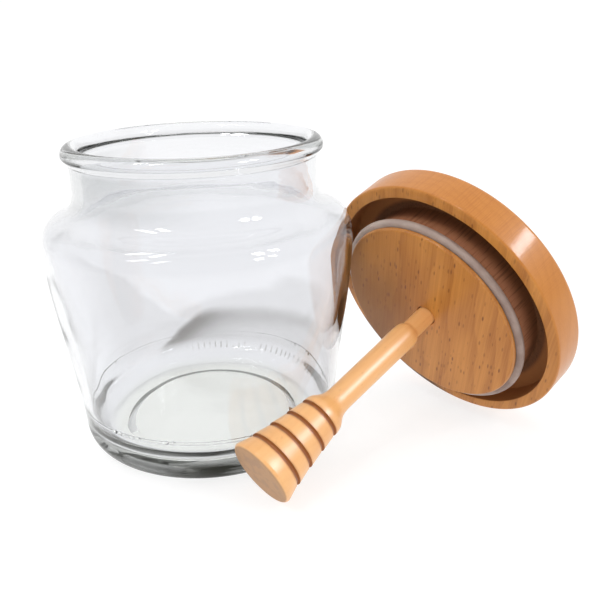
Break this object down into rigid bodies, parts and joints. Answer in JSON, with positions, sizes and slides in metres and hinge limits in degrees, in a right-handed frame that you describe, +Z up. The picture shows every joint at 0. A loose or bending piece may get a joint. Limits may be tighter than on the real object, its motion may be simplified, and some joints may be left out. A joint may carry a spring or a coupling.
{
  "type": "honey jar with dipper",
  "caption": "Empty, round-bellied clear glass honey jar, opened, with its turned beech lid leaning beside it on its rim and on the honey dipper fixed in the middle of the lid.",
  "frame": {"origin": "on the table, under the middle of the box round the jar and the lid that leans beside it", "axes": "+Z up; -X the way the dipper points from the lid; the jar stands towards -X and +Y, and the lid towards +X and -Y"},
  "size_m": [0.1486, 0.1634, 0.11],
  "materials": {
    "glass": "clear pressed glass, polished",
    "lid_wood": "turned beech, satin",
    "gasket": "cloudy grey silicone",
    "dipper_wood": "turned pale beech, satin, grooves burnt brown"
  },
  "bodies": {
    "root": {"jar": "glass", "lid": "lid_wood", "gasket": "gasket", "dipper": "dipper_wood"}
  },
  "joints": []
}
